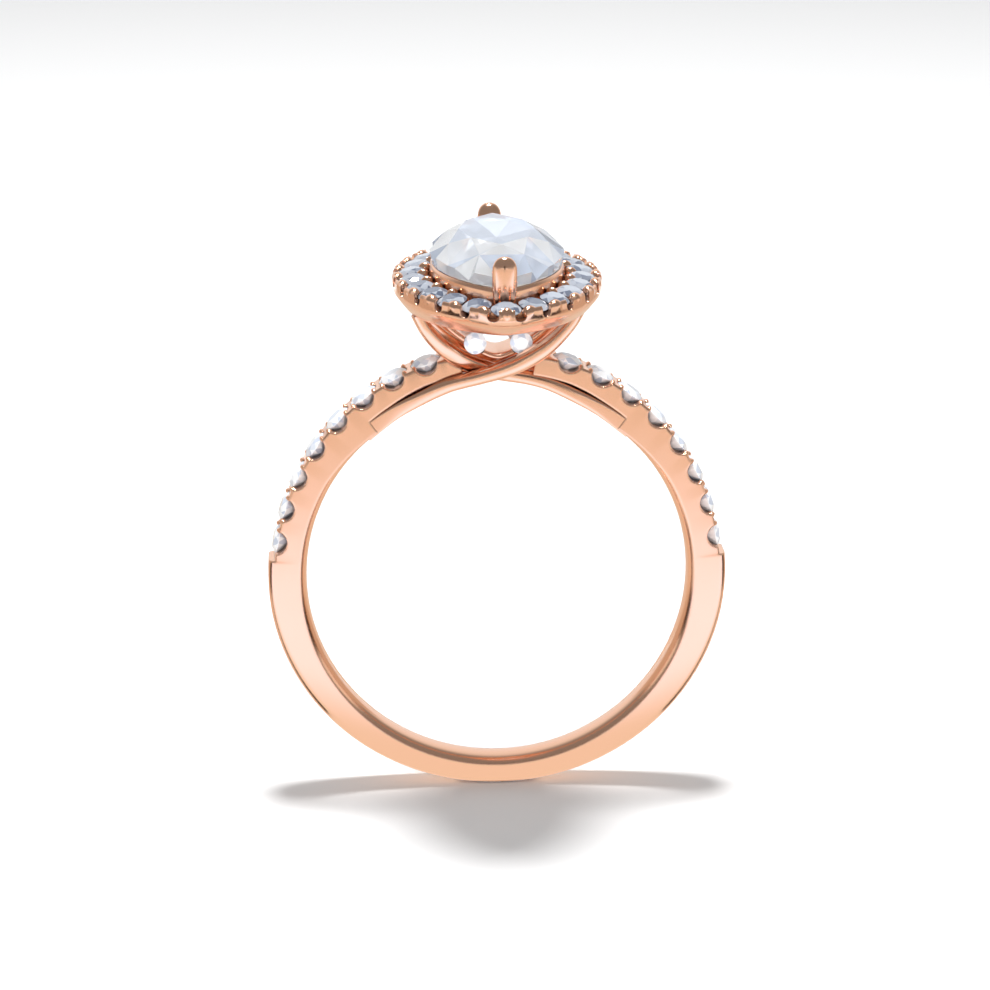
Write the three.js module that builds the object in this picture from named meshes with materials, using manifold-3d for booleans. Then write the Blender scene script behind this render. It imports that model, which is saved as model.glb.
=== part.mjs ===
// Halo engagement ring with a raised marquise stone, pave shoulders and crossing strands.
// Millimetres, +Z up, finger axis along Y, origin at the centre of the foot of the bounding box.
import * as THREE from 'three';
import { ConvexGeometry } from 'three/addons/geometries/ConvexGeometry.js';
import { mergeVertices } from 'three/addons/utils/BufferGeometryUtils.js';
import Module from 'manifold-3d';

const wasm = await Module();
wasm.setup();
const { Manifold, Mesh } = wasm;

// Band
const BORE_RADIUS = 8.65;
const FOOT_THICKNESS = 1.28;
const SIDE_RADIUS = 10.4;
const BAND_HALF_WIDTH = 0.9;
const COMFORT_RISE = 0.33;
const CENTRE_Z = BORE_RADIUS + FOOT_THICKNESS;
const PAVE_RADIUS_TOP = 10.44;
const PAVE_RADIUS_SIDE = 10.12;
const PAVE_END_DEG = 84.8;
const SHOULDER_END_DEG = 9.5;
const SPLIT_DEG = 38;
const SPLIT_RADIUS = 9.41;
const SPLIT_RADIUS_TOP = 9.56;
// Shoulder stones
const SHANK_STONES = 8;
const SHANK_FIRST_DEG = 18;
const SHANK_PITCH_DEG = 8.86;
const SHANK_STONE_RADIUS = 0.68;
const STONE_SINK = 0.03;
// Centre stone, above the bore centre
const GIRDLE_Z = 14.97;
const GIRDLE_A = 5.8;
const GIRDLE_B = 3.0;
const CROWN = 1.0;
const PAVILION = 2.35;
// Halo
const HALO_Z = 13.75;
const HALO_PER_SIDE = 10;
const HALO_STONE_RADIUS = 0.66;
const HALO_LINE = 0.87;
const HALO_TILT = 12;
const HALO_OUTER = 1.68;
// Claws
const CLAW_TOP_Z = 15.93;
const CLAW_HALF_WIDTH = 0.55;
// Gallery stones
const GALLERY_STONE_RADIUS = 0.5;
const GALLERY_X = 1.03;
const GALLERY_Z = 10.98;
const GALLERY_Y = 1.12;
const GAP = 0.03;

const gold = new THREE.MeshStandardMaterial({ color: 0xe6ad8e, metalness: 1, roughness: 0.12 });
const diamond = new THREE.MeshStandardMaterial({ color: 0xf2f6fb, metalness: 0, roughness: 0.03 });
gold.name = 'rose_gold';
diamond.name = 'diamond';

const rad = (degrees) => (degrees * Math.PI) / 180;
const mix = (a, b, t) => a + (b - a) * t;
const clamp01 = (t) => Math.min(1, Math.max(0, t));
const smooth = (t) => clamp01(t) ** 2 * (3 - 2 * clamp01(t));

// A closed grid of rings becomes a solid: capped at its ends, or joined end to end.
function skin(rings, closed = false) {
  const count = rings[0].length;
  const points = rings.flat();
  const faces = [];
  const last = closed ? rings.length : rings.length - 1;
  for (let i = 0; i < last; i++) {
    const a = i * count;
    const b = ((i + 1) % rings.length) * count;
    for (let j = 0; j < count; j++) {
      const k = (j + 1) % count;
      faces.push(a + j, b + j, b + k, a + j, b + k, a + k);
    }
  }
  if (!closed) {
    for (const [start, flip] of [[0, false], [(rings.length - 1) * count, true]]) {
      const middle = points.length;
      const centre = new THREE.Vector3();
      for (let j = 0; j < count; j++) centre.addScaledVector(points[start + j], 1 / count);
      points.push(centre);
      for (let j = 0; j < count; j++) {
        const pair = [start + j, start + ((j + 1) % count)];
        faces.push(middle, ...(flip ? pair.reverse() : pair));
      }
    }
  }
  const solid = new Manifold(new Mesh({
    numProp: 3,
    vertProperties: new Float32Array(points.flatMap((p) => [p.x, p.y, p.z])),
    triVerts: new Uint32Array(faces),
  }));
  return solid.volume() > 0 ? solid : new Manifold(new Mesh({
    numProp: 3,
    vertProperties: new Float32Array(points.flatMap((p) => [p.x, p.y, p.z])),
    triVerts: new Uint32Array(faces.map((_, i) => faces[i - (i % 3) + 2 - (i % 3)])),
  }));
}

function toManifold(geometry) {
  const bare = geometry.clone();
  for (const name of Object.keys(bare.attributes)) if (name !== 'position') bare.deleteAttribute(name);
  const merged = mergeVertices(bare, 1e-5);
  const index = merged.index ? merged.index.array : [...Array(merged.attributes.position.count).keys()];
  return new Manifold(new Mesh({
    numProp: 3,
    vertProperties: new Float32Array(merged.attributes.position.array),
    triVerts: new Uint32Array(index),
  }));
}

function toMesh(name, solid, material) {
  const bodies = solid.decompose().sort((a, b) => b.volume() - a.volume());
  const mesh = bodies[0].getMesh();
  const geometry = new THREE.BufferGeometry();
  geometry.setAttribute('position', new THREE.Float32BufferAttribute(mesh.vertProperties, 3));
  geometry.setIndex(new THREE.Uint32BufferAttribute(mesh.triVerts, 1));
  geometry.computeVertexNormals();
  const node = new THREE.Mesh(geometry, material);
  node.name = name;
  return node;
}

// Offset of a marquise outline (half length a, half width b) by d, as a ring of points at height z.
const SIDE_STEPS = 20;
const TIP_STEPS = 6;
function outline(a, b, d, z) {
  const radius = (a * a + b * b) / (2 * b);
  const half = Math.asin(a / radius);
  const ring = [];
  for (const turn of [1, -1]) {
    for (let i = 0; i <= SIDE_STEPS; i++) {
      const t = mix(-half, half, i / SIDE_STEPS);
      const x = (radius + d) * Math.cos(t) - (radius - b);
      ring.push(new THREE.Vector3(turn * x, turn * (radius + d) * Math.sin(t), z));
    }
    for (let i = 1; i < TIP_STEPS; i++) {
      const t = mix(half, Math.PI - half, i / TIP_STEPS);
      ring.push(new THREE.Vector3(turn * d * Math.cos(t), turn * (a + d * Math.sin(t)), z));
    }
  }
  return ring;
}

// A round brilliant with its axis along +Z and its girdle at z = 0.
function brilliant(radius) {
  const points = [new THREE.Vector3(0, 0, -0.86 * radius)];
  for (let i = 0; i < 16; i++) {
    const t = (i * Math.PI) / 8;
    const [c, s] = [Math.cos(t), Math.sin(t)];
    points.push(new THREE.Vector3(radius * c, radius * s, 0));
    points.push(new THREE.Vector3(radius * c, radius * s, -0.04 * radius));
    if (i % 2) points.push(new THREE.Vector3(0.57 * radius * c, 0.57 * radius * s, 0.3 * radius));
  }
  return toManifold(new ConvexGeometry(points));
}

// A marquise brilliant: table, crown break, girdle and a keel of three culet points.
function marquise(grow = 0) {
  const points = [];
  const [a, b] = [GIRDLE_A + grow, GIRDLE_B + grow];
  const radius = (a * a + b * b) / (2 * b);
  const half = Math.asin(a / radius);
  const levels = [[1, 0, 1], [0.97, -0.45, 1], [0.55, CROWN + grow, 0], [0.8, 0.58 * CROWN + grow, 0.5]];
  for (const [scale, z, blunt] of levels) {
    for (const turn of [1, -1]) {
      for (let i = 0; i <= 8; i++) {
        const t = mix(-half, half, i / 8) * mix(0.97, 1, blunt);
        const x = radius * Math.cos(t) - (radius - b);
        points.push(new THREE.Vector3(turn * x * scale, turn * radius * Math.sin(t) * scale, z));
      }
    }
  }
  for (const y of [-1.2, 0, 1.2]) points.push(new THREE.Vector3(0, y, -PAVILION - grow + 0.1 * Math.abs(y)));
  const solid = toManifold(new ConvexGeometry(points));
  return solid.translate([0, 0, GIRDLE_Z]);
}

// Band section at one angle from the top, as points in the plane through the finger axis.
function paveRadius(degrees) {
  return mix(PAVE_RADIUS_TOP, PAVE_RADIUS_SIDE, clamp01((degrees - SHANK_FIRST_DEG) / 62));
}

function bandRadius(degrees) {
  if (degrees < PAVE_END_DEG) return paveRadius(degrees);
  const t = smooth((degrees - PAVE_END_DEG) / (180 - PAVE_END_DEG));
  return mix(SIDE_RADIUS, CENTRE_Z, t);
}

function bandSection(degrees, outer, raised) {
  const w = BAND_HALF_WIDTH;
  const section = [];
  const split = mix(SPLIT_RADIUS, SPLIT_RADIUS_TOP, clamp01((SPLIT_DEG - degrees) / 18));
  for (const s of [-1, -0.5, 0, 0.5, 1]) {
    const bore = BORE_RADIUS + COMFORT_RISE * s * s;
    section.push([raised ? split : bore, s * w]);
  }
  const edge = degrees < PAVE_END_DEG ? 0.08 : 0.28;
  section.push([outer - edge, w], [outer - 0.35 * edge, 0.86 * w], [outer, 0.55 * w]);
  section.push([outer, -0.55 * w], [outer - 0.35 * edge, -0.86 * w], [outer - edge, -w]);
  const t = rad(degrees);
  return section.map(([r, y]) => new THREE.Vector3(r * Math.sin(t), y, r * Math.cos(t)));
}

function band() {
  const rings = [];
  const half = [[SHOULDER_END_DEG, true]];
  for (let d = 12; d < SPLIT_DEG; d += 2.6) half.push([d, true]);
  half.push([SPLIT_DEG, true], [SPLIT_DEG + 0.3, false]);
  for (let d = 40.5; d < PAVE_END_DEG - 1; d += 3) half.push([d, false]);
  half.push([PAVE_END_DEG - 0.01, false], [PAVE_END_DEG + 0.6, false]);
  for (let d = 88; d < 180; d += 4) half.push([d, false]);
  for (const [d, raised] of half) rings.push(bandSection(d, bandRadius(d), raised));
  rings.push(bandSection(180, CENTRE_Z, false));
  for (const [d, raised] of half.reverse()) {
    const right = bandSection(d, bandRadius(d), raised);
    rings.push(right.map((p) => new THREE.Vector3(-p.x, p.y, p.z)));
  }
  return skin(rings);
}

// A bar swept along a curve, its section upright in the plane of the bore. Rows of a path are
// x, y, z, half height, half width and how square the section is (small is squarer).
const STRAND_STEPS = 30;
function sweep(path, steps) {
  const curve = new THREE.CatmullRomCurve3(path.map((p) => new THREE.Vector3(p[0], p[1], p[2])));
  const sizes = new THREE.CatmullRomCurve3(path.map((p) => new THREE.Vector3(p[3], p[4], p[5])));
  const rings = [];
  for (let i = 0; i <= steps; i++) {
    const centre = curve.getPoint(i / steps);
    const size = sizes.getPoint(i / steps);
    const tangent = curve.getTangent(i / steps);
    const up = new THREE.Vector3(-tangent.z, 0, tangent.x).normalize();
    const ring = [];
    for (let k = 0; k < 12; k++) {
      const t = (k / 12 + 1 / 24) * 2 * Math.PI;
      const u = Math.sign(Math.sin(t)) * Math.abs(Math.sin(t)) ** size.z;
      const v = Math.sign(Math.cos(t)) * Math.abs(Math.cos(t)) ** size.z;
      const p = centre.clone().addScaledVector(up, u * size.x);
      p.y += v * size.y;
      ring.push(p);
    }
    rings.push(ring);
  }
  return skin(rings);
}

function onBore(degrees, y, height, radius) {
  const t = rad(degrees);
  return [-radius * Math.sin(t), y, radius * Math.cos(t), height, 0.42, 0.3];
}

// Over strand: from the left shoulder across the front, rising to the right side of the halo.
const OVER_PATH = [
  onBore(37.8, -0.47, 0.33, 9.03), onBore(31, -0.5, 0.34, 9.05), onBore(23, -0.62, 0.34, 9.1),
  [-2.2, -0.85, 9.03, 0.33, 0.42, 0.4], [-1.1, -1.05, 9.36, 0.33, 0.42, 0.5],
  [-0.1, -1.2, 9.68, 0.37, 0.42, 0.55], [0.84, -1.3, 10.05, 0.4, 0.42, 0.6],
  [1.95, -1.4, 10.72, 0.4, 0.42, 0.6], [2.73, -1.42, 11.42, 0.35, 0.42, 0.6],
  [3.25, -1.42, 12.05, 0.33, 0.42, 0.6], [3.55, -1.42, 12.6, 0.33, 0.42, 0.6],
];
// Under strand: from the right shoulder behind the over strand, rising to the left side.
const UNDER_PATH = [
  onBore(37.8, -0.47, 0.33, 9.03), onBore(31, -0.47, 0.34, 9.05), onBore(23, -0.46, 0.34, 9.1),
  [-2.2, -0.43, 9.0, 0.33, 0.38, 0.4], [-1.1, -0.39, 9.26, 0.32, 0.34, 0.5],
  [-0.1, -0.38, 9.45, 0.36, 0.32, 0.55], [0.9, -0.42, 9.76, 0.38, 0.34, 0.6],
  [1.75, -0.7, 10.22, 0.38, 0.38, 0.6], [2.35, -1.0, 10.68, 0.36, 0.42, 0.6],
  [2.85, -1.22, 11.2, 0.34, 0.42, 0.6], [3.25, -1.35, 11.75, 0.32, 0.42, 0.6],
  [3.6, -1.4, 12.45, 0.32, 0.42, 0.6],
];
const strand = (path, side, grow = 0) => sweep(
  path.map(([x, y, z, u, v, c]) => [side * x, y, z, u + grow, v + grow, c]), STRAND_STEPS);
const overStrand = (grow) => strand(OVER_PATH, 1, grow);
const underStrand = (grow) => strand(UNDER_PATH, -1, grow);

const back = (solid) => solid.rotate([0, 0, 180]);

// Seats: places along the halo line and along the shoulders, with the way each stone faces.
function haloSeats() {
  const radius = (GIRDLE_A ** 2 + GIRDLE_B ** 2) / (2 * GIRDLE_B);
  const half = Math.asin(GIRDLE_A / radius);
  const side = 2 * half * (radius + HALO_LINE);
  const tip = (Math.PI - 2 * half) * HALO_LINE;
  const pitch = (side + tip) / (HALO_PER_SIDE + 1);
  const seats = [];
  for (const turn of [1, -1]) {
    for (let i = 0; i <= HALO_PER_SIDE + 0.5; i += 0.5) {
      const s = i * pitch - tip / 2;
      let [x, y, t] = [0, 0, 0];
      if (s < 0 || s > side) {
        t = s < 0 ? -half + s / HALO_LINE : half + (s - side) / HALO_LINE;
        y = Math.sign(t) * GIRDLE_A + HALO_LINE * Math.sin(t);
        x = HALO_LINE * Math.cos(t);
      } else {
        t = -half + s / (radius + HALO_LINE);
        x = (radius + HALO_LINE) * Math.cos(t) - (radius - GIRDLE_B);
        y = (radius + HALO_LINE) * Math.sin(t);
      }
      seats.push({ x: turn * x, y: turn * y, t: turn > 0 ? t : t + Math.PI, claw: i % 1 > 0 });
    }
  }
  return seats;
}

// Bowl section: how far the core marquise shrinks (long, short), the offset, and the height.
const BOWL = [
  [0, 0, 0.06, -0.1], [0, 0, 0.2, -0.02], [0, 0, 1.4, 0.02],
  [0, 0, 1.6, 0.18], [0, 0, HALO_OUTER, 0.02], [0, 0, HALO_OUTER, -0.3], [0.1, -0.01, 1.6, -0.55], [0.35, -0.04, 1.4, -0.8],
  [0.65, -0.07, 1.18, -1.05], [1.05, -0.1, 0.88, -1.34], [1.3, 0, 0.5, -1.36],
  [1.2, 0.05, 0.35, -1.2], [0.6, 0.05, 0.12, -0.8],
];
const bowl = (rows, grow = 0) => rows.map(([a, b, d, z]) => (
  outline(GIRDLE_A - a, GIRDLE_B - b, d + grow, HALO_Z + z)));

// The room one halo stone takes in its seat, as pavilion, girdle and crown cones.
function haloRoom({ x, y, t }) {
  const wide = (HALO_STONE_RADIUS + GAP) / Math.cos(Math.PI / 12);
  const pavilion = Manifold.cylinder(0.6, 0.03, wide, 12).translate([0, 0, -0.63]);
  const girdle = Manifold.cylinder(0.08, wide, wide, 12).translate([0, 0, -0.03]);
  const crown = Manifold.cylinder(0.2, wide, 0.42, 12).translate([0, 0, 0.05]);
  const room = Manifold.union([pavilion, girdle, crown]);
  return room.rotate([0, HALO_TILT, (t * 180) / Math.PI]).translate([x, y, HALO_Z + 0.08]);
}

function haloFrame() {
  const cuts = [];
  const claws = [];
  for (const { x, y, t, claw } of haloSeats()) {
    const turn = (t * 180) / Math.PI;
    const place = (solid) => solid.rotate([0, 0, turn]).translate([x, y, HALO_Z]);
    const atTip = Math.abs(y) > GIRDLE_A + 0.5;
    if (claw) {
      claws.push(place(Manifold.sphere(0.3, 8).scale([0.9, 1.25, 1]).translate([0.56, 0, -0.02])));
    }
    if (atTip) {
      claws.push(place(Manifold.sphere(0.28, 8).scale([0.9, 1, 1.2]).translate([0.6, 0, -0.04])));
    }
    if (claw && Math.abs(y) < GIRDLE_A - 0.8) {
      claws.push(place(Manifold.sphere(0.24, 8).scale([1, 1, 0.85]).translate([-0.58, 0, 0.08])));
    }
    if (!claw) {
      const well = HALO_STONE_RADIUS + GAP;
      const drill = Manifold.cylinder(1, well, well, 14).translate([0, 0, -0.02]);
      cuts.push(place(drill.rotate([0, HALO_TILT, 0])));
      for (const offset of atTip ? [-0.6, 0.6] : [0]) {
        const notch = Manifold.cylinder(1.2, 0.25, 0.25, 8).rotate([0, 90, 0]);
        cuts.push(place(notch.translate([0, offset, -0.08])));
        cuts.push(place(Manifold.cube([1, 0.5, 0.5]).translate([0.2, offset - 0.25, -0.08])));
      }
    }
  }
  const drilled = skin(bowl(BOWL), true).subtract(Manifold.union(cuts)).add(Manifold.union(claws));
  const rooms = haloSeats().filter((s) => !s.claw).map(haloRoom);
  return drilled.subtract(Manifold.union(rooms));
}

function haloStone({ x, y, t }, grow = 0) {
  const solid = brilliant(HALO_STONE_RADIUS + grow).rotate([0, HALO_TILT, (t * 180) / Math.PI + 11.25]);
  return solid.translate([x, y, HALO_Z + 0.08]);
}

function collar() {
  const [a, b] = [GIRDLE_A, GIRDLE_B];
  const levels = [
    outline(a, b, 0.01, 13.15), outline(a, b, 0.02, HALO_Z), outline(a, b, -0.02, 14.28),
    outline(a, b, -0.12, 14.4), outline(a, b, -0.22, 14.35), outline(a, b, -0.75, 13.85),
    outline(a, b, -0.6, 13.15),
  ];
  return skin(levels, true);
}

function frontClaw(grow = 0) {
  const y = -(GIRDLE_A - 0.06);
  const rings = [];
  const rows = [
    [12.75, 0.6], [13.4, 0.75], [14.5, 0.97], [15.3, 1], [15.65, 0.86], [15.84, 0.6],
    [CLAW_TOP_Z, 0.2],
  ];
  for (const [z, s] of rows) {
    const ring = [];
    for (let k = 0; k < 14; k++) {
      const t = (k / 14) * 2 * Math.PI;
      const lean = 0.1 * (CLAW_TOP_Z - z);
      const [across, along] = [CLAW_HALF_WIDTH * s + grow, 0.4 * s + grow];
      ring.push(new THREE.Vector3(across * Math.cos(t), y + lean + along * Math.sin(t), z));
    }
    rings.push(ring);
  }
  return skin(rings);
}

function cradle() {
  const half = [[2.5, 12.05], [2.1, 11.62], [1.5, 11.15], [0.75, 10.62]];
  const line = [...half.map(([x, z]) => [-x, z]), [0, 10.36], ...half.reverse()];
  return sweep(line.map(([x, z]) => [x, 0, z, 0.12, 1.25, 0.4]), 28);
}

function galleryStone(sx, grow = 0) {
  const solid = brilliant(GALLERY_STONE_RADIUS + grow).rotate([90, 0, 0]);
  return solid.translate([sx * GALLERY_X, -GALLERY_Y, GALLERY_Z]);
}

function shankStone(side, i, grow = 0) {
  const degrees = SHANK_FIRST_DEG + i * SHANK_PITCH_DEG;
  const solid = brilliant(SHANK_STONE_RADIUS + grow).translate([0, 0, paveRadius(degrees) - STONE_SINK]);
  return solid.rotate([0, side * degrees, 0]);
}

function shank() {
  const cuts = [];
  const seats = [];
  const beads = [];
  for (const side of [-1, 1]) {
    for (let i = 0; i < SHANK_STONES; i++) {
      const degrees = SHANK_FIRST_DEG + i * SHANK_PITCH_DEG;
      const cut = Manifold.cylinder(3, SHANK_STONE_RADIUS - 0.04, SHANK_STONE_RADIUS - 0.04, 20, true);
      const well = SHANK_STONE_RADIUS + GAP;
      const high = paveRadius(degrees) - STONE_SINK;
      const open = Manifold.cylinder(1, well, well, 14).translate([0, 0, high]);
      cuts.push(cut.rotate([90, 0, 0]).translate([0, 0, high + 0.1]).rotate([0, side * degrees, 0]));
      cuts.push(open.rotate([0, side * degrees, 0]));
      seats.push(shankStone(side, i, GAP));
      const between = degrees - SHANK_PITCH_DEG / 2;
      for (const y of i ? [-0.62, 0.62] : []) {
        const bead = Manifold.sphere(0.2, 8).scale([1, 1.2, 1]);
        beads.push(bead.translate([0, y, paveRadius(between)]).rotate([0, side * between, 0]));
      }
    }
  }
  const strands = [overStrand(GAP), underStrand(GAP)];
  const clear = Manifold.union([...strands, ...strands.map(back)]);
  const metal = band().subtract(Manifold.union(cuts)).add(Manifold.union(beads));
  return metal.subtract(Manifold.union(seats)).subtract(clear);
}

const group = new THREE.Group();
group.name = 'engagement_ring';
const lift = (solid) => solid.translate([0, 0, CENTRE_Z]);
const add = (name, solid, material) => group.add(toMesh(name, lift(solid), material));

const halo = haloFrame();
const haloBlock = skin(bowl([[0, 0, HALO_OUTER, 0.2], ...BOWL.slice(5, 10)], GAP));
const claw = frontClaw();
const clawRoom = skin([
  outline(GIRDLE_A, GIRDLE_B, 0.02 + GAP, 13), outline(GIRDLE_A, GIRDLE_B, 0.02 + GAP, 14.5),
]);
const strandOver = overStrand().subtract(haloBlock);
const strandUnder = underStrand().subtract(haloBlock);
const grown = [overStrand(GAP), underStrand(GAP)];
const allStrands = Manifold.union([...grown, ...grown.map(back)]);
const galleryRoom = Manifold.union([-1, 1].flatMap((s) => {
  const room = Manifold.cylinder(2, GALLERY_STONE_RADIUS + GAP, GALLERY_STONE_RADIUS + GAP, 24);
  const front = room.rotate([90, 0, 0]).translate([s * GALLERY_X, -GALLERY_Y + 0.1, GALLERY_Z]);
  return [front, back(front), galleryStone(s, GAP), back(galleryStone(s, GAP))];
}));

add('shank', shank(), gold);
add('strand_front_over', strandOver, gold);
add('strand_front_under', strandUnder, gold);
add('strand_back_over', back(strandOver), gold);
add('strand_back_under', back(strandUnder), gold);
add('gallery_cradle', cradle().subtract(haloBlock).subtract(allStrands).subtract(galleryRoom), gold);
const stoneRoom = marquise(GAP);
const tipSeat = haloSeats().filter((s) => !s.claw).sort((p, q) => p.y - q.y)[0];
const clawSolid = claw.subtract(stoneRoom).subtract(clawRoom).subtract(haloStone(tipSeat, GAP));
const clawCut = frontClaw(GAP);
add('halo_frame', halo.subtract(clawRoom).subtract(clawCut).subtract(back(clawCut)), gold);
const collarSolid = collar().subtract(stoneRoom);
add('centre_collar', collarSolid, gold);
add('prong_front', clawSolid, gold);
add('prong_back', back(clawSolid), gold);
add('centre_stone', marquise(), diamond);
haloSeats().filter((s) => !s.claw).forEach((seat, i) => {
  add(`halo_stone_${String(i + 1).padStart(2, '0')}`, haloStone(seat), diamond);
});
for (const [side, word] of [[-1, 'left'], [1, 'right']]) {
  for (let i = 0; i < SHANK_STONES; i++) add(`shank_stone_${word}_${i + 1}`, shankStone(side, i), diamond);
}
for (const [s, word] of [[-1, 'left'], [1, 'right']]) {
  add(`gallery_stone_front_${word}`, galleryStone(s), diamond);
  add(`gallery_stone_back_${word}`, back(galleryStone(-s)), diamond);
}

export default group;
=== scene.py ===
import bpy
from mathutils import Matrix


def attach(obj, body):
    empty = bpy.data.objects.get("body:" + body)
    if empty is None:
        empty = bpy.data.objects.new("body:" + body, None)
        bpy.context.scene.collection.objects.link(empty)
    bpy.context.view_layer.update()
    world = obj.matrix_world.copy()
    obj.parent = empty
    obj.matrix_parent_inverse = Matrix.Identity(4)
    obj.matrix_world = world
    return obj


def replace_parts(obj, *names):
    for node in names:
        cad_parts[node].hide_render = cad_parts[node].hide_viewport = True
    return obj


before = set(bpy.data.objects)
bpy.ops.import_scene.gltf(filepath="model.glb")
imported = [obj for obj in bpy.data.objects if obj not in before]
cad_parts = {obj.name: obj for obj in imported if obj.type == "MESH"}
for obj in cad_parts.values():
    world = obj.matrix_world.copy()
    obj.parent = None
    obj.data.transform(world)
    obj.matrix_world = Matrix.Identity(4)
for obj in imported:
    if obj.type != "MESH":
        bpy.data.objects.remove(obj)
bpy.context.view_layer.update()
import math

import bmesh
import bpy
import numpy as np
from mathutils import Matrix, Vector

# Millimetres here, as in the solids; every mesh is scaled to metres when its piece is made.
BORE, SIDE_R, HALF_W, COMFORT = 8.65, 10.4, 0.9, 0.33
CENTRE = 9.93
PAVE_TOP, PAVE_SIDE, PAVE_END, SHOULDER_END = 10.44, 10.12, 84.8, 9.5
SPLIT, SPLIT_R, SPLIT_TOP = 38.0, 9.41, 9.56
SHANK_N, SHANK_FIRST, SHANK_PITCH, SHANK_SR, SINK = 8, 18.0, 8.86, 0.68, 0.03
GIRDLE_Z, GA, GB, CROWN, PAVILION = 14.97, 5.8, 3.0, 1.0, 2.35
CUT_CROWN, CUT_DEPTH = 0.30, 0.86  # of a round brilliant whose girdle radius is 1
HALO_Z, HALO_SIDE, HALO_SR, HALO_LINE, HALO_OUT, HALO_TILT = 13.75, 10, 0.66, 0.87, 1.68, 12
GAL_SR, GAL_X, GAL_Z, GAL_Y = 0.5, 1.03, 10.98, 1.12
SCALLOP_R, SCALLOP_LIFT, BEAD_SINK = 0.54, 0.14, 0.08  # openings and beads beside the shoulder stones
NOTCH_R, HALO_LIFT = 0.25, 0.08  # openings in front of the halo stones, and the stones' lift
GAP = 0.03


# ---------------------------------------------------------------- materials
def gold(name, edge):
    """Polished rose gold with painted shade darkening its crevices, and its edges softened over a radius of
    edge.
    """
    m = bpy.data.materials.new(name)
    m.use_nodes = True
    nodes, links = m.node_tree.nodes, m.node_tree.links
    p = nodes["Principled BSDF"]
    p.inputs["Metallic"].default_value = 1
    # Painted shade: ambient occlusion mixes the base colour toward dark brown in crevices, gaps and grooves.
    painted_crevice_shade = nodes.new("ShaderNodeAmbientOcclusion")
    painted_crevice_shade.samples = 8
    painted_crevice_shade.inputs["Distance"].default_value = 0.00022
    depth = nodes.new("ShaderNodeMapRange")
    depth.inputs["From Min"].default_value = 0.25
    depth.inputs["From Max"].default_value = 0.75
    links.new(painted_crevice_shade.outputs["AO"], depth.inputs["Value"])
    tone = nodes.new("ShaderNodeMix")
    tone.data_type = "RGBA"
    tone.inputs[6].default_value = (0.30, 0.12, 0.06, 1)
    tone.inputs[7].default_value = (0.98, 0.58, 0.395, 1)
    links.new(depth.outputs["Result"], tone.inputs[0])
    links.new(tone.outputs[2], p.inputs["Base Color"])
    noise = nodes.new("ShaderNodeTexNoise")
    noise.inputs["Scale"].default_value = 900
    noise.inputs["Detail"].default_value = 3
    coord = nodes.new("ShaderNodeTexCoord")
    links.new(coord.outputs["Object"], noise.inputs["Vector"])
    rough = nodes.new("ShaderNodeMapRange")
    rough.inputs["To Min"].default_value = 0.16
    rough.inputs["To Max"].default_value = 0.21
    links.new(noise.outputs["Fac"], rough.inputs["Value"])
    links.new(rough.outputs["Result"], p.inputs["Roughness"])
    soft = nodes.new("ShaderNodeBevel")
    soft.samples = 6
    soft.inputs["Radius"].default_value = edge
    links.new(soft.outputs["Normal"], p.inputs["Normal"])
    return m


def stone_look(name, clear, dark, light):
    """Clear stone whose facets each take their own painted reflection tone between dark and light."""
    m = bpy.data.materials.new(name)
    m.use_nodes = True
    nodes, links = m.node_tree.nodes, m.node_tree.links
    p = nodes["Principled BSDF"]
    # Painted reflection: each facet's base colour is set dark or light by which way it faces.
    facet = nodes.new("ShaderNodeNewGeometry")
    mix = nodes.new("ShaderNodeVectorMath")
    mix.operation = "DOT_PRODUCT"
    # These weights put neighbouring facets at unlike points of the sine.
    mix.inputs[1].default_value = (23, 17, 11)
    links.new(facet.outputs["True Normal"], mix.inputs[0])
    wave = nodes.new("ShaderNodeMath")
    wave.operation = "SINE"
    links.new(mix.outputs["Value"], wave.inputs[0])
    step = nodes.new("ShaderNodeMapRange")
    step.inputs["From Min"].default_value = -1
    step.inputs["From Max"].default_value = -0.1
    links.new(wave.outputs["Value"], step.inputs["Value"])
    tone = nodes.new("ShaderNodeMix")
    tone.data_type = "RGBA"
    tone.inputs[6].default_value = (*dark, 1)
    tone.inputs[7].default_value = (*light, 1)
    links.new(step.outputs["Result"], tone.inputs[0])
    links.new(tone.outputs[2], p.inputs["Base Color"])
    p.inputs["Roughness"].default_value = 0.0
    p.inputs["IOR"].default_value = 2.0
    p.inputs["Transmission Weight"].default_value = clear
    return m


GOLD = gold("rose gold", 0.00007)
BAND_GOLD = gold("band rose gold", 0.00014)
# The dark and light colours are the ends of each stone's painted reflection tones.
CENTRE_LOOK = stone_look("centre diamond", 0.62, (0.66, 0.75, 0.92), (0.98, 0.99, 1.0))
DIAMOND = stone_look("diamond", 0.12, (0.60, 0.66, 0.78), (0.97, 0.98, 1.0))
HALO_LOOK = stone_look("halo diamond", 0.3, (0.14, 0.17, 0.25), (0.56, 0.61, 0.70))


# ---------------------------------------------------------------- mesh helpers
def raw(name, points, faces):
    mesh = bpy.data.meshes.new(name)
    mesh.from_pydata([tuple(map(float, p)) for p in points], [], [tuple(map(int, f)) for f in faces])
    bm = bmesh.new()
    bm.from_mesh(mesh)
    bmesh.ops.recalc_face_normals(bm, faces=bm.faces)
    if bm.calc_volume(signed=True) < 0:
        bmesh.ops.reverse_faces(bm, faces=bm.faces)
    bm.to_mesh(mesh)
    bm.free()
    obj = bpy.data.objects.new(name, mesh)
    bpy.context.collection.objects.link(obj)
    return obj


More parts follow.
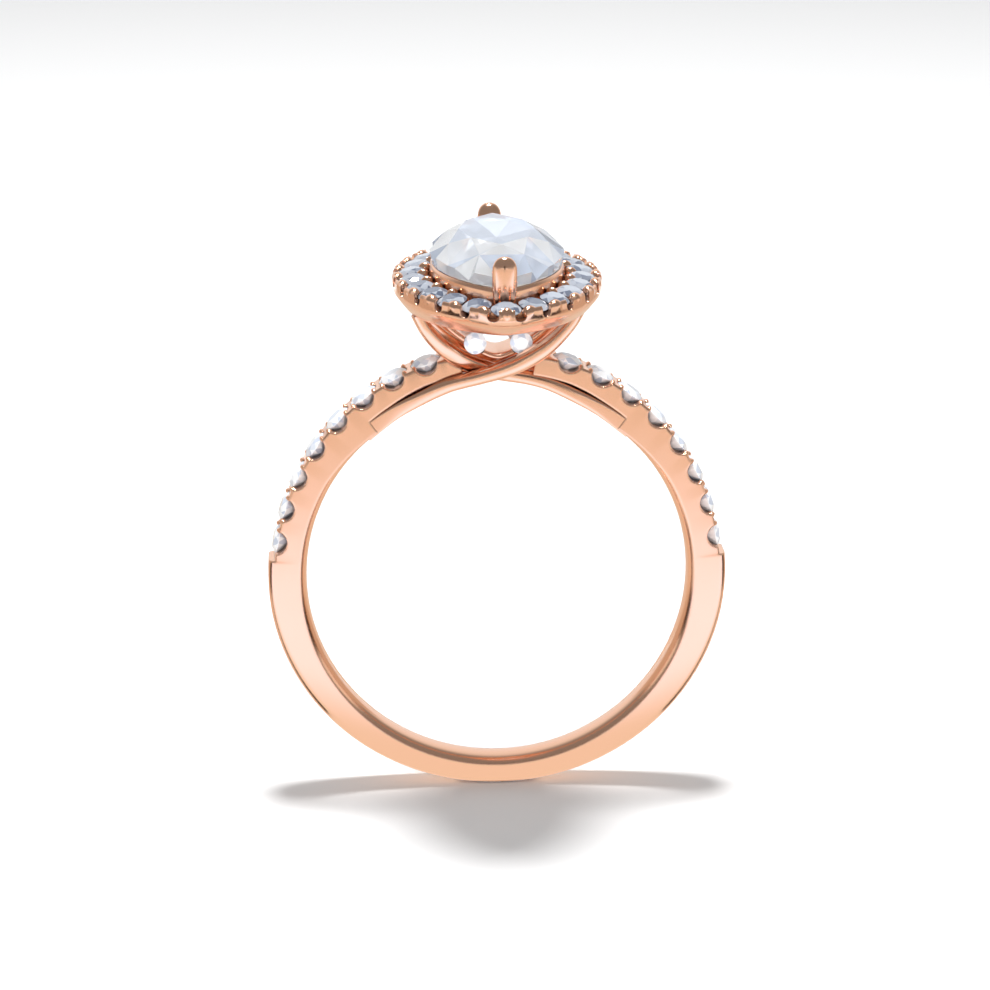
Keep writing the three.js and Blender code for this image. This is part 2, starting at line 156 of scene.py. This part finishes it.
def skin(name, rings, closed=False):
    n, m = len(rings), len(rings[0])
    points = np.concatenate(rings)
    faces = []
    for i in range(n if closed else n - 1):
        a, b = i * m, (i + 1) % n * m
        faces += [(a + j, b + j, b + (j + 1) % m, a + (j + 1) % m) for j in range(m)]
    if not closed:
        faces += [tuple(range(m)), tuple(range(n * m - 1, (n - 1) * m - 1, -1))]
    return raw(name, points, faces)


def discard(obj):
    mesh = obj.data
    bpy.data.objects.remove(obj)
    bpy.data.meshes.remove(mesh)


def combine(obj, others, operation="DIFFERENCE"):
    """Boolean obj with each of others in turn, and remove them."""
    for other in others:
        mod = obj.modifiers.new("cut", "BOOLEAN")
        mod.object, mod.operation, mod.solver = other, operation, "MANIFOLD"
        bpy.context.view_layer.update()
        made = bpy.data.meshes.new_from_object(obj.evaluated_get(bpy.context.evaluated_depsgraph_get()))
        obj.modifiers.clear()
        old, obj.data = obj.data, made
        bpy.data.meshes.remove(old)
        discard(other)
    return obj


def joined(objs):
    """One loose mesh of several solids that don't touch, to use as a cutter."""
    bm = bmesh.new()
    for o in objs:
        bm.from_mesh(o.data)
    mesh = bpy.data.meshes.new("cutters")
    bm.to_mesh(mesh)
    bm.free()
    for o in objs:
        discard(o)
    out = bpy.data.objects.new("cutters", mesh)
    bpy.context.collection.objects.link(out)
    return out


def moved(obj, matrix):
    obj.data.transform(matrix)
    return obj


def turn(degrees, axis):
    return Matrix.Rotation(math.radians(degrees), 4, axis)


def shift(x, y, z):
    return Matrix.Translation((x, y, z))


def twin(obj, name):
    """The same piece turned half round the vertical axis."""
    other = bpy.data.objects.new(name, obj.data.copy())
    bpy.context.collection.objects.link(other)
    return moved(other, turn(180, "Z"))


def piece(obj, name, node, material, smooth_angle=None):
    """Scale to metres, set the finish and shading, and stand for the CAD node."""
    obj.name = name.replace(" ", "_")
    obj.data.transform(Matrix.Scale(0.001, 4) @ shift(0, 0, CENTRE))
    obj.data.materials.clear()
    obj.data.materials.append(material)
    bm = bmesh.new()
    bm.from_mesh(obj.data)
    bmesh.ops.remove_doubles(bm, verts=bm.verts, dist=2e-7)
    for f in bm.faces:
        f.smooth = smooth_angle is not None
    for e in bm.edges:
        sharp = len(e.link_faces) == 2 and e.calc_face_angle(0) > math.radians(smooth_angle or 0)
        e.smooth = not sharp
    bm.to_mesh(obj.data)
    bm.free()
    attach(obj, "root")
    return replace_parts(obj, node)


# ---------------------------------------------------------------- outlines and sweeps
def outline(a, b, d, z, side=48, tip=12):
    """A marquise outline, half length a and half width b, offset by d."""
    radius = (a * a + b * b) / (2 * b)
    half = math.asin(a / radius)
    ring = []
    for s in (1, -1):
        for t in np.linspace(-half, half, side + 1):
            ring.append((s * ((radius + d) * math.cos(t) - radius + b), s * (radius + d) * math.sin(t), z))
        for t in np.linspace(half, math.pi - half, tip + 1)[1:-1]:
            ring.append((s * d * math.cos(t), s * (a + d * math.sin(t)), z))
    return np.array(ring)


def spline(path, steps):
    """Centripetal Catmull-Rom through the rows of path."""
    p = np.array(path, float)
    p = np.vstack([2 * p[0] - p[1], p, 2 * p[-1] - p[-2]])
    gaps = np.linalg.norm(np.diff(p[:, :3], axis=0), axis=1) ** 0.5
    t = np.concatenate([[0], np.cumsum(gaps)])
    out = []
    for u in np.linspace(t[1], t[-2], steps + 1):
        i = min(max(int(np.searchsorted(t, u, "right")) - 1, 1), len(t) - 3)
        a = [p[i - 1 + k] for k in range(4)]
        s = t[i - 1:i + 3]
        for level in (1, 2, 3):
            a = [
                (s[k + level] - u) / (s[k + level] - s[k]) * a[k]
                + (u - s[k]) / (s[k + level] - s[k]) * a[k + 1]
                for k in range(4 - level)
            ]
        out.append(a[0])
    return np.array(out)


def sweep(name, path, steps, around=36):
    """Rows of path are x, y, z, half height, half width and how square the section is."""
    rows = spline(path, steps)
    slope = np.gradient(rows[:, :3], axis=0)
    rings = []
    for row, g in zip(rows, slope):
        up = np.array([-g[2], 0, g[0]])
        up /= np.linalg.norm(up)
        t = (np.arange(around) + 0.5) / around * 2 * math.pi
        u = np.sign(np.sin(t)) * np.abs(np.sin(t)) ** row[5] * row[3]
        v = np.sign(np.cos(t)) * np.abs(np.cos(t)) ** row[5] * row[4]
        rings.append(row[:3] + u[:, None] * up + v[:, None] * np.array([0, 1, 0]))
    return skin(name, rings)


# ---------------------------------------------------------------- stones
def brilliant_mesh():
    """A round brilliant of girdle radius 1: the space inside its facet planes."""
    table, crown, girdle, depth = 0.57, CUT_CROWN, 0.04, CUT_DEPTH
    planes = [((0, 0, 1), crown)]
    for k in range(8):
        for az, rise, at in (
            (45 * k, crown / (1 - table), 1.0),
            (45 * k + 22.5, 0.42, table * math.cos(math.pi / 8) + crown / 0.42),
            (45 * k + 11.25, 0.86, 0.995), (45 * k - 11.25, 0.86, 0.995),
        ):
            a = math.radians(az)
            planes.append(((rise * math.cos(a), rise * math.sin(a), 1), rise * at))
        for az, drop, at in (
            (45 * k, depth - girdle, 1.0),
            (45 * k + 11.25, 0.9, 0.992), (45 * k - 11.25, 0.9, 0.992),
        ):
            a = math.radians(az)
            planes.append(((drop * math.cos(a), drop * math.sin(a), -1), drop * at + girdle))
    for k in range(32):
        a = math.radians(11.25 * k)
        planes.append(((math.cos(a), math.sin(a), 0), 1.0))
    normals = np.array([p[0] for p in planes], float)
    offsets = np.array([p[1] for p in planes], float)
    i, j, k = np.array([(i, j, k) for i in range(len(planes)) for j in range(i) for k in range(j)]).T
    sets = np.stack([normals[i], normals[j], normals[k]], 1)
    good = np.abs(np.linalg.det(sets)) > 1e-6
    rhs = np.stack([offsets[i], offsets[j], offsets[k]], 1)[good]
    points = np.linalg.solve(sets[good], rhs[..., None])[..., 0]
    inside = (points @ normals.T <= offsets + 1e-7).all(1)
    points = np.unique(np.round(points[inside], 6), axis=0)
    bm = bmesh.new()
    for p in points:
        bm.verts.new(p)
    bmesh.ops.convex_hull(bm, input=bm.verts)
    bmesh.ops.dissolve_limit(bm, angle_limit=math.radians(0.3), verts=bm.verts, edges=bm.edges)
    bmesh.ops.recalc_face_normals(bm, faces=bm.faces)
    mesh = bpy.data.meshes.new("brilliant")
    bm.to_mesh(mesh)
    bm.free()
    return mesh


BRILLIANT = brilliant_mesh()


def brilliant(radius):
    obj = bpy.data.objects.new("stone", BRILLIANT.copy())
    bpy.context.collection.objects.link(obj)
    return moved(obj, Matrix.Scale(radius, 4))


def marquise(grow=0.0):
    """The brilliant's facets carried round a marquise outline."""
    obj = brilliant(1.0)
    a, b = GA + grow, GB + grow
    radius = (a * a + b * b) / (2 * b)
    half = math.asin(a / radius)
    for v in obj.data.vertices:
        x, y, z = v.co
        far = math.hypot(x, y)
        if far > 1e-6:
            s = 1 if x >= -1e-9 else -1
            t = half * math.atan2(s * y, s * x) / (math.pi / 2)
            edge = (s * (radius * math.cos(t) - radius + b), s * radius * math.sin(t))
            x, y = far * edge[0], far * edge[1]
        # The girdle's lower ring drops, so that the pavilion starts full.
        if z < -0.001 and far > 0.9:
            x, y, z = 0.97 * x, 0.97 * y, -0.4 + 2 * z
        else:
            z *= CROWN / CUT_CROWN if z > 0 else PAVILION / CUT_DEPTH
        v.co = (x, y, GIRDLE_Z + z)
    bm = bmesh.new()
    bm.from_mesh(obj.data)
    bmesh.ops.triangulate(bm, faces=bm.faces)
    bm.to_mesh(obj.data)
    bm.free()
    return obj


def halo_seats(halves=False):
    """Places along the halo line: (x, y, facing in degrees), one per stone, or one per claw."""
    radius = (GA * GA + GB * GB) / (2 * GB)
    half = math.asin(GA / radius)
    side, tip = 2 * half * (radius + HALO_LINE), (math.pi - 2 * half) * HALO_LINE
    pitch = (side + tip) / (HALO_SIDE + 1)
    seats = []
    for s in (1, -1):
        for i in range(HALO_SIDE + 1):
            at = (i + (0.5 if halves else 0)) * pitch - tip / 2
            if 0 <= at <= side:
                t = -half + at / (radius + HALO_LINE)
                x, y = (radius + HALO_LINE) * math.cos(t) - radius + GB, (radius + HALO_LINE) * math.sin(t)
            else:
                t = -half + at / HALO_LINE if at < 0 else half + (at - side) / HALO_LINE
                x, y = HALO_LINE * math.cos(t), math.copysign(GA, t) + HALO_LINE * math.sin(t)
            seats.append((s * x, s * y, math.degrees(t) + (0 if s > 0 else 180)))
    return seats


def halo_stone(seat, grow=0.0):
    x, y, a = seat
    leaning = turn(a, "Z") @ turn(HALO_TILT, "Y") @ turn(11.25, "Z")
    return moved(brilliant(HALO_SR + grow), shift(x, y, HALO_Z + HALO_LIFT) @ leaning)


def shank_stone(side, i, grow=0.0):
    degrees = side * (SHANK_FIRST + i * SHANK_PITCH)
    high = pave_radius(abs(degrees)) - SINK
    return moved(brilliant(SHANK_SR + grow), turn(degrees, "Y") @ shift(0, 0, high))


def gallery_stone(s, grow=0.0):
    return moved(brilliant(GAL_SR + grow), shift(s * GAL_X, -GAL_Y, GAL_Z) @ turn(90, "X"))


def bead(rx, ry, rz, matrix):
    bm = bmesh.new()
    bmesh.ops.create_uvsphere(bm, u_segments=20, v_segments=12, radius=1.0)
    mesh = bpy.data.meshes.new("bead")
    bm.to_mesh(mesh)
    bm.free()
    obj = bpy.data.objects.new("bead", mesh)
    bpy.context.collection.objects.link(obj)
    return moved(obj, matrix @ Matrix.Diagonal((rx, ry, rz, 1)))


def rod(radius, length, matrix, around=64):
    """A cylinder along Z, centred."""
    t = np.arange(around) / around * 2 * math.pi
    ring = np.stack([radius * np.cos(t), radius * np.sin(t), np.zeros(around)], 1)
    return moved(skin("rod", [ring - [0, 0, length / 2], ring + [0, 0, length / 2]]), matrix)


# ---------------------------------------------------------------- band
def pave_radius(degrees):
    return float(np.interp(degrees, (SHANK_FIRST, SHANK_FIRST + 62), (PAVE_TOP, PAVE_SIDE)))


def band():
    def section(d, outer, raised):
        w, rows = HALF_W, []
        split = float(np.interp(d, (SPLIT - 18, SPLIT - 7, SPLIT), (SPLIT_TOP, SPLIT_R, SPLIT_R - 0.06)))
        comfort = float(np.interp(d, (SPLIT, SPLIT + 22), (0.08, COMFORT)))
        for s in np.linspace(-1, 1, 17):
            rows.append((split if raised else BORE + comfort * s * s * (0.4 + 0.6 * s ** 4), s * w))
        edge = 0.08 if d < PAVE_END else 0.3
        for t in np.linspace(0, 90, 8):
            a = math.radians(t)
            rows.append((outer - edge + edge * math.sin(a), w - 1.1 * edge * (1 - math.cos(a))))
        rows += [(r, -y) for r, y in rows[:16:-1]]
        a = math.radians(d)
        return np.array([(r * math.sin(a), y, r * math.cos(a)) for r, y in rows])

    half = [(d, pave_radius(d), True) for d in np.append(np.arange(SHOULDER_END, SPLIT, 1.5), SPLIT)]
    plain = np.append(np.arange(SPLIT + 0.1, PAVE_END - 1, 1.0), PAVE_END - 0.02)
    half += [(d, pave_radius(d), False) for d in plain]
    for d in np.append((PAVE_END + 0.15, PAVE_END + 0.6), np.arange(86, 181, 1.0)):
        t = (d - PAVE_END) / (180 - PAVE_END)
        half.append((d, SIDE_R + (CENTRE - SIDE_R) * t * t * (3 - 2 * t), False))
    rings = [section(*row) for row in half]
    rings += [section(*row) * [-1, 1, 1] for row in half[-2::-1]]
    metal = skin("band", rings)
    notches, wells, seats, beads = [], [], [], []
    for side in (-1, 1):
        for i in range(SHANK_N):
            degrees = SHANK_FIRST + i * SHANK_PITCH
            high = pave_radius(degrees) - SINK
            at = turn(side * degrees, "Y")
            notches.append(rod(SCALLOP_R, 3, at @ shift(0, 0, high + SCALLOP_LIFT) @ turn(90, "X")))
            wells.append(rod(SHANK_SR + GAP, 1, at @ shift(0, 0, high + 0.5)))
            seats.append(shank_stone(side, i, GAP))
            if i:
                between = degrees - SHANK_PITCH / 2
                top = pave_radius(between) - BEAD_SINK
                for y in (-0.6, 0.6):
                    for lean in (-1.25, 1.25):
                        place = turn(side * (between + lean), "Y") @ shift(0, y, top)
                        beads.append(bead(0.13, 0.25, 0.19, place))
    combine(metal, [joined(notches), joined(wells)])
    # Beads that overlap go in different unions.
    for k in range(4):
        combine(metal, [joined(beads[k::4])], "UNION")
    combine(metal, [joined(seats)])
    # The cut starts one row in, so each strand's end stays buried in the band.
    for path, side in ((OVER, 1), (UNDER, -1)):
        near = strand(path[1:], side, 0.01)
        combine(metal, [near, twin(near, "far")])
    return largest(metal)


def largest(obj):
    """Keep only the biggest connected piece of a mesh."""
    bm = bmesh.new()
    bm.from_mesh(obj.data)
    left, islands = set(bm.verts), []
    while left:
        todo, island = [left.pop()], []
        while todo:
            v = todo.pop()
            island.append(v)
            for e in v.link_edges:
                other = e.other_vert(v)
                if other in left:
                    left.discard(other)
                    todo.append(other)
        islands.append(island)
    islands.sort(key=len)
    bmesh.ops.delete(bm, geom=[v for island in islands[:-1] for v in island], context="VERTS")
    bm.to_mesh(obj.data)
    bm.free()
    return obj


def on_bore(degrees, y, height, radius, square=0.12):
    a = math.radians(degrees)
    return (-radius * math.sin(a), y, radius * math.cos(a), height, 0.425, square)


OVER = [
    on_bore(41.5, -0.47, 0.35, 9.01), on_bore(37.8, -0.47, 0.35, 9.01), on_bore(31, -0.5, 0.34, 9.05, 0.3),
    on_bore(23, -0.62, 0.34, 9.1, 0.55),
    (-2.2, -0.85, 9.03, 0.33, 0.42, 0.7), (-1.1, -1.05, 9.36, 0.33, 0.42, 0.75),
    (-0.1, -1.2, 9.68, 0.37, 0.42, 0.8), (0.84, -1.3, 10.05, 0.4, 0.42, 0.8),
    (1.95, -1.4, 10.72, 0.4, 0.42, 0.8), (2.73, -1.42, 11.42, 0.35, 0.42, 0.8),
    (3.25, -1.42, 12.05, 0.33, 0.42, 0.8), (3.55, -1.42, 12.6, 0.33, 0.42, 0.8),
]
UNDER = [
    on_bore(41.5, -0.47, 0.35, 9.01), on_bore(37.8, -0.47, 0.35, 9.01), on_bore(31, -0.47, 0.34, 9.05, 0.3),
    on_bore(23, -0.46, 0.34, 9.1, 0.5),
    (-2.2, -0.43, 9.0, 0.33, 0.38, 0.6), (-1.1, -0.39, 9.26, 0.32, 0.34, 0.7),
    (-0.1, -0.38, 9.45, 0.36, 0.32, 0.8), (0.9, -0.42, 9.76, 0.38, 0.34, 0.8),
    (1.75, -0.7, 10.22, 0.38, 0.38, 0.8), (2.35, -1.0, 10.68, 0.36, 0.42, 0.8),
    (2.85, -1.22, 11.2, 0.34, 0.42, 0.8), (3.25, -1.35, 11.75, 0.32, 0.42, 0.8),
    (3.6, -1.4, 12.45, 0.32, 0.42, 0.8),
]


def strand(path, side, grow=0.0):
    rows = [(side * x, y, z, u + grow, v + grow, c) for x, y, z, u, v, c in path]
    return sweep("strand", rows, 120)


# ---------------------------------------------------------------- head
# How far the core marquise shrinks (long, short), the offset from it, and the height.
BOWL = [
    (0, 0, 0.06, -0.1), (0, 0, 0.2, -0.02), (0, 0, 1.35, 0), (0, 0, 1.42, 0.04), (0, 0, 1.48, 0.13),
    (0, 0, 1.54, 0.18), (0, 0, 1.6, 0.18), (0, 0, 1.65, 0.12), (0, 0, HALO_OUT, 0.02),
    (0, 0, HALO_OUT, -0.3), (0.1, -0.01, 1.6, -0.55), (0.35, -0.04, 1.4, -0.8),
    (0.65, -0.07, 1.18, -1.05), (0.9, -0.09, 1.0, -1.25), (1.05, -0.1, 0.88, -1.34),
    (1.15, -0.08, 0.72, -1.38), (1.3, 0, 0.5, -1.36), (1.2, 0.05, 0.35, -1.2), (0.6, 0.05, 0.12, -0.8),
]


def bowl(rows):
    return [outline(GA - a, GB - b, d, HALO_Z + z) for a, b, d, z in rows]


def halo_block():
    """What the strands and cradle are trimmed by: the bowl, filled in."""
    return skin("block", bowl([(0, 0, HALO_OUT, 0.2)] + BOWL[9:15]))


def stone_room():
    """The space inside the halo for the collar and the centre stone."""
    return skin("room", [outline(GA, GB, 0.05, 13), outline(GA, GB, 0.05, 14.5)])


def halo_frame():
    metal = skin("halo", bowl(BOWL), closed=True)
    groups = {"outer": [], "inner": [], "tips": [], "wells": [], "notches": [], "slots": []}

    def at(seat, x, y, z):
        return shift(seat[0], seat[1], HALO_Z) @ turn(seat[2], "Z") @ shift(x, y, z)

    for seat in halo_seats(True):
        groups["outer"].append(bead(0.27, 0.37, 0.3, at(seat, 0.56, 0, -0.02)))
        if abs(seat[1]) < GA - 0.8:
            groups["inner"].append(bead(0.3, 0.2, 0.28, at(seat, -0.58, 0, 0.12)))
    for seat in halo_seats():
        tip = abs(seat[1]) > GA + 0.5
        drill = at(seat, 0, 0, 0) @ turn(HALO_TILT, "Y") @ shift(0, 0, 0.48)
        groups["wells"].append(rod(HALO_SR + GAP, 1, drill))
        for offset in (-0.6, 0.6) if tip else (0,):
            groups["notches"].append(rod(NOTCH_R, 1.2, at(seat, 0.6, offset, -0.08) @ turn(90, "Y")))
            left, right = offset - NOTCH_R, offset + NOTCH_R
            slot = [(0.2, left), (1.2, left), (1.2, right), (0.2, right)]
            block = skin("slot", [np.array([(x, y, z) for x, y in slot]) for z in (-0.08, 0.42)])
            groups["slots"].append(moved(block, at(seat, 0, 0, 0)))
        if tip:
            groups["tips"].append(bead(0.25, 0.28, 0.33, at(seat, 0.6, 0, -0.04)))
    combine(metal, [joined(groups["wells"][k::2]) for k in (0, 1)])
    combine(metal, [joined(groups["notches"]), joined(groups["slots"])])
    combine(metal, [joined(groups[k]) for k in ("outer", "inner", "tips")], "UNION")
    stones = [halo_stone(s, GAP) for s in halo_seats()]
    combine(metal, [joined(stones[::2]), joined(stones[1::2])])
    return largest(combine(metal, [stone_room(), claw(0.09), moved(claw(0.09), turn(180, "Z"))]))


def collar():
    rows = [
        (0.01, 13.15), (0.02, HALO_Z), (0.0, 14.28), (-0.03, 14.4), (-0.09, 14.46), (-0.17, 14.46),
        (-0.24, 14.41), (-0.75, 13.85), (-0.6, 13.15),
    ]
    metal = skin("collar", [outline(GA, GB, d, z) for d, z in rows], closed=True)
    return combine(metal, [marquise(GAP)])


def claw(grow=0.0):
    around, top = 40, 15.93
    rows = [
        (12.75, 0.6), (13.4, 0.75), (14.0, 0.88), (14.5, 0.97), (14.9, 0.99), (15.25, 1.0),
        (15.45, 0.96), (15.6, 0.89), (15.72, 0.78), (15.81, 0.64), (15.88, 0.47), (15.92, 0.28), (top, 0.1),
    ]
    t = np.arange(around) / around * 2 * math.pi
    rings = []
    for z, s in rows:
        y = -(GA - 0.06) + 0.1 * (top - z)
        x = (0.55 * s + grow) * np.cos(t)
        rings.append(np.stack([x, y + (0.4 * s + grow) * np.sin(t), np.full(around, z)], 1))
    return skin("claw", rings)


def cradle():
    line = [(-2.5, 12.05), (-2.1, 11.62), (-1.5, 11.15), (-0.75, 10.62), (0, 10.36)]
    line += [(-x, z) for x, z in line[-2::-1]]
    return sweep("cradle", [(x, 0, z, 0.12, 1.25, 0.4) for x, z in line], 80, 40)


# ---------------------------------------------------------------- assemble
piece(band(), "band", "shank", BAND_GOLD, 32)
for word, path, side in (("over", OVER, 1), ("under", UNDER, -1)):
    bar = largest(combine(strand(path, side), [halo_block()]))
    rear = twin(bar, "rear")
    piece(bar, f"front {word} strand", f"strand_front_{word}", GOLD, 40)
    piece(rear, f"back {word} strand", f"strand_back_{word}", GOLD, 40)

saddle = combine(cradle(), [halo_block()])
for path, side in ((OVER, 1), (UNDER, -1)):
    near = strand(path, side, GAP)
    far = twin(near, "far")
    combine(saddle, [near, far])
for s in (-1, 1):
    for spin in (0, 180):
        bore = rod(GAL_SR + GAP, 2, turn(spin, "Z") @ shift(s * GAL_X, -GAL_Y - 0.9, GAL_Z) @ turn(90, "X"))
        combine(saddle, [bore, moved(gallery_stone(s, GAP), turn(spin, "Z"))])
piece(saddle, "gallery saddle", "gallery_cradle", GOLD, 35)

piece(halo_frame(), "halo", "halo_frame", GOLD, 35)
piece(collar(), "collar", "centre_collar", GOLD, 40)
point = combine(claw(), [
    marquise(GAP), stone_room(), halo_stone(min(halo_seats(), key=lambda s: s[1]), GAP),
])
other = twin(point, "other")
piece(point, "front claw", "prong_front", GOLD, 40)
piece(other, "back claw", "prong_back", GOLD, 40)
piece(marquise(), "centre stone", "centre_stone", CENTRE_LOOK)
for i, seat in enumerate(halo_seats(), 1):
    piece(halo_stone(seat), f"halo stone {i}", f"halo_stone_{i:02d}", HALO_LOOK)
for side, word in ((-1, "left"), (1, "right")):
    for i in range(SHANK_N):
        piece(shank_stone(side, i), f"{word} stone {i + 1}", f"shank_stone_{word}_{i + 1}", DIAMOND)
    piece(gallery_stone(side), f"front {word} side stone", f"gallery_stone_front_{word}", DIAMOND)
    rear = moved(gallery_stone(-side), turn(180, "Z"))
    piece(rear, f"back {word} side stone", f"gallery_stone_back_{word}", DIAMOND)
bpy.data.meshes.remove(BRILLIANT)

# ---------------------------------------------------------------- floor, light and camera
bpy.ops.mesh.primitive_plane_add(size=6)
floor = bpy.context.object
paper = bpy.data.materials.new("paper")
paper.use_nodes = True
paper.node_tree.nodes["Principled BSDF"].inputs["Base Color"].default_value = (0.93, 0.93, 0.93, 1)
paper.node_tree.nodes["Principled BSDF"].inputs["Roughness"].default_value = 0.9
paper.node_tree.nodes["Principled BSDF"].inputs["Specular IOR Level"].default_value = 0
floor.data.materials.append(paper)

world = bpy.data.worlds.new("studio")
bpy.context.scene.world = world
world.use_nodes = True
tree = world.node_tree
sky = tree.nodes["Background"]
coord = tree.nodes.new("ShaderNodeTexCoord")
split = tree.nodes.new("ShaderNodeSeparateXYZ")
tree.links.new(coord.outputs["Generated"], split.inputs["Vector"])


def ramp(socket, low, high, start, end):
    node = tree.nodes.new("ShaderNodeMapRange")
    node.interpolation_type = "SMOOTHSTEP"
    tree.links.new(socket, node.inputs["Value"])
    for name, value in zip(("From Min", "From Max", "To Min", "To Max"), (low, high, start, end)):
        node.inputs[name].default_value = value
    return node.outputs["Result"]


sky.inputs["Color"].default_value = (0.98, 0.99, 1.0, 1)
tree.links.new(ramp(split.outputs["Y"], 0.3, 0.9, 0.26, 0.95), sky.inputs["Strength"])


def card(name, corners, stops):
    """A studio reflector, in millimetres, which shows in polished surfaces only.

    The stops are (y, colour) pairs: its tone changes from front to back.
    """
    mesh = bpy.data.meshes.new(name)
    mesh.from_pydata([[0.001 * v for v in c] for c in corners], [], [range(len(corners))])
    sheet = bpy.data.objects.new(name, mesh)
    bpy.context.collection.objects.link(sheet)
    look = bpy.data.materials.new(name)
    look.use_nodes = True
    nodes, links = look.node_tree.nodes, look.node_tree.links
    nodes.clear()
    place = nodes.new("ShaderNodeTexCoord")
    axes = nodes.new("ShaderNodeSeparateXYZ")
    links.new(place.outputs["Object"], axes.inputs["Vector"])
    along = nodes.new("ShaderNodeMapRange")
    along.inputs["From Min"].default_value = 0.001 * stops[0][0]
    along.inputs["From Max"].default_value = 0.001 * stops[-1][0]
    links.new(axes.outputs["Y"], along.inputs["Value"])
    tones = nodes.new("ShaderNodeValToRGB")
    span = stops[-1][0] - stops[0][0]
    for k, (y, colour) in enumerate(stops):
        at = (y - stops[0][0]) / span
        mark = tones.color_ramp.elements[k] if k < 2 else tones.color_ramp.elements.new(at)
        mark.position, mark.color = at, (*colour, 1)
    links.new(along.outputs["Result"], tones.inputs["Fac"])
    glow = nodes.new("ShaderNodeEmission")
    links.new(tones.outputs["Color"], glow.inputs["Color"])
    out = nodes.new("ShaderNodeOutputMaterial")
    links.new(glow.outputs[0], out.inputs["Surface"])
    mesh.materials.append(look)
    sheet.visible_camera = sheet.visible_diffuse = sheet.visible_shadow = sheet.visible_transmission = False


PEACH, PALE, SOFT, BLACK = (0.95, 0.92, 0.86), (1.28, 1.4, 1.75), (0.9, 0.86, 0.8), (0.02, 0.015, 0.01)
WARM = (0.62, 0.5, 0.4)
for side in (-1, 1):
    for name, front, bottom, top in (("side_flag", BLACK, 0, 11), ("side_sheet", SOFT, 11, 26)):
        wall = [(34 * side, y, z) for y, z in ((-14, bottom), (60, bottom), (60, top), (-14, top))]
        card(name, wall, [(-14, front), (3, front), (5, WARM), (60, WARM)])
    stripe = [(side * x, y, 0.1) for x, y in ((10, -4), (40, -4), (40, -0.5), (10, -0.5))]
    card("floor_line", stripe, [(-4, BLACK), (-0.5, BLACK)])
sheet = [(x, y, 0.05) for x, y in ((-150, -220), (150, -220), (150, 80), (-150, 80))]
card("floor_sheet", sheet, [
    (-220, (0.8, 0.74, 0.68)), (-80, (0.88, 0.79, 0.69)), (-52, (0.93, 0.86, 0.78)), (-38, PALE), (-16, PALE),
    (-8, PEACH), (0, PEACH), (10, (0.8, 0.68, 0.56)), (80, (0.8, 0.68, 0.56)),
])


def area(name, place, aim, size, power):
    light = bpy.data.lights.new(name, "AREA")
    light.shape, light.size, light.energy = "DISK", size, power
    lamp = bpy.data.objects.new(name, light)
    lamp.location = place
    lamp.rotation_euler = (Vector(aim) - Vector(place)).to_track_quat("-Z", "Y").to_euler()
    bpy.context.collection.objects.link(lamp)
    return lamp


hood = [(x, -112, z) for x, z in ((-10, 6), (10, 6), (10, 40), (-10, 40))]
card("lens_flag", hood, [(-113, BLACK), (-111, BLACK)])
area("overhead", (0, 0.05, 0.30), (0, 0.02, 0), 0.07, 0.95)
fill = area("front fill", (0, -0.25, 0.045), (0, 0, 0.012), 0.15, 0.55)
fill.visible_glossy = False

camera = bpy.data.cameras.new("camera")
camera.lens, camera.sensor_width = 152.4, 36
camera.clip_start, camera.clip_end = 0.005, 20
lens = bpy.data.objects.new("camera", camera)
el, az = math.radians(15.8), math.radians(-3.45)
back = Vector((math.sin(az) * math.cos(el), -math.cos(az) * math.cos(el), math.sin(el)))
target = Vector((-0.00008, 0, 0.01355))
lens.location = target + 0.19 * back
lens.rotation_euler = back.to_track_quat("Z", "Y").to_euler()
bpy.context.collection.objects.link(lens)
bpy.context.scene.camera = lens
bpy.context.scene.view_settings.view_transform = "Standard"
